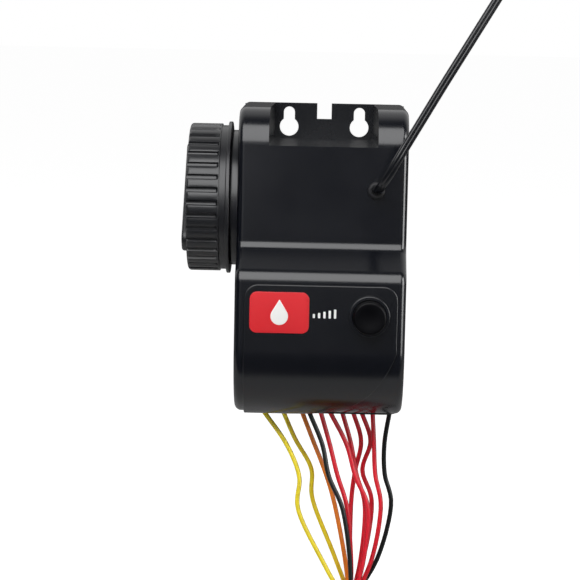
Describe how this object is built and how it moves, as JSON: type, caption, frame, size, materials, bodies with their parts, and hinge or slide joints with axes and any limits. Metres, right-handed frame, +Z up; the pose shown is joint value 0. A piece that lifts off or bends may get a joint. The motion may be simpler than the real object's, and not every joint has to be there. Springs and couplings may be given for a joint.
{
  "type": "battery irrigation controller",
  "caption": "Wall-hung battery irrigation controller: moulded housing with keyhole recess, ribbed screw cap on the battery bay, push button, hanging valve leads and an antenna lead.",
  "frame": {"origin": "midway between the two keyhole entry holes, on the plane where the back plate meets the wall", "axes": "+Z up, +X to the right seen from the front, +Y into the wall"},
  "size_m": [0.1501, 0.093, 0.3571],
  "materials": {
    "housing_black": "semi-gloss moulded",
    "plate_black": "satin moulded",
    "cap_black": "fine grained",
    "chamber_black": "satin",
    "panel_black": "satin film",
    "badge_red": "satin print",
    "symbol_white": "satin print",
    "button_black": "satin",
    "seal_rubber": "matte",
    "spring_steel": "plated",
    "screw_steel": "zinc plated",
    "contact_gold": "gold plated",
    "contact_nickel": "nickel plated",
    "board_green": "solder mask",
    "chip_black": "matte",
    "can_aluminium": "satin",
    "header_plastic": "natural nylon",
    "potting_resin": "cast resin",
    "battery_case": "printed jacket",
    "lead_yellow": "PVC jacket",
    "lead_orange": "PVC jacket",
    "lead_red": "PVC jacket",
    "lead_black": "PVC jacket",
    "antenna_black": "satin jacket",
    "copper_strands": "bare copper",
    "tie_nylon": "nylon"
  },
  "bodies": {
    "case": {"housing": "housing_black", "back_plate": "plate_black", "back_screws": "screw_steel", "back_seal": "seal_rubber", "battery_chamber": "chamber_black", "neck_seal": "seal_rubber", "contact_board": "board_green", "contact_pins": "contact_gold", "face_panel": "panel_black", "badge": "badge_red", "badge_symbol": "symbol_white", "panel_marks": "symbol_white", "button_bezel": "housing_black", "button_nut": "chip_black", "button_seal": "seal_rubber", "button_spring": "spring_steel", "main_board": "board_green", "board_screws": "screw_steel", "tact_switch": "chip_black", "radio_module": "can_aluminium", "microcontroller": "chip_black", "capacitors": "can_aluminium", "driver_chips": "chip_black", "lead_header": "header_plastic", "lead_grommet": "seal_rubber", "potting_block": "potting_resin", "antenna_gland": "seal_rubber", "antenna_nut": "chip_black", "antenna_lead": "antenna_black", "antenna_tip": "antenna_black", "lead_yellow_1": "lead_yellow", "lead_yellow_2": "lead_yellow", "lead_orange": "lead_orange", "lead_black_1": "lead_black", "lead_red_1": "lead_red", "lead_red_2": "lead_red", "lead_red_3": "lead_red", "lead_red_4": "lead_red", "lead_red_5": "lead_red", "lead_red_6": "lead_red", "lead_black_2": "lead_black", "lead_hank": "lead_red", "hank_tie": "tie_nylon"},
    "button": {"button_cap": "button_black", "button_clip": "spring_steel"},
    "battery_tray": {"battery_carrier": "chamber_black", "battery_upper": "battery_case", "battery_lower": "battery_case", "battery_snaps": "contact_nickel"},
    "cap_ring": {"cap_seal": "seal_rubber"},
    "cap": {"battery_cap": "cap_black"}
  },
  "joints": [
    {"name": "button_press", "type": "slide", "parent": "case", "child": "button", "axis": [0, 1, 0], "range_m": [0, 0.002], "stiffness_N_per_m": 600, "springref_m": -0.001, "deforming": ["button_spring"]},
    {"name": "carrier_slide", "type": "slide", "parent": "case", "child": "battery_tray", "axis": [-1, 0, 0], "range_m": [0, 0.082]},
    {"name": "cap_unscrew", "type": "slide", "parent": "battery_tray", "child": "cap_ring", "axis": [-1, 0, 0], "range_m": [0, 0.008]},
    {"name": "cap_turn", "type": "hinge", "parent": "cap_ring", "child": "cap", "pos_m": [-0.05, -0.037, -0.0322], "axis": [-1, 0, 0], "range_deg": [0, 725]}
  ],
  "couplings": [
    {"joint": "cap_turn", "follows": "cap_unscrew", "rad_per_m": 1570.8}
  ]
}
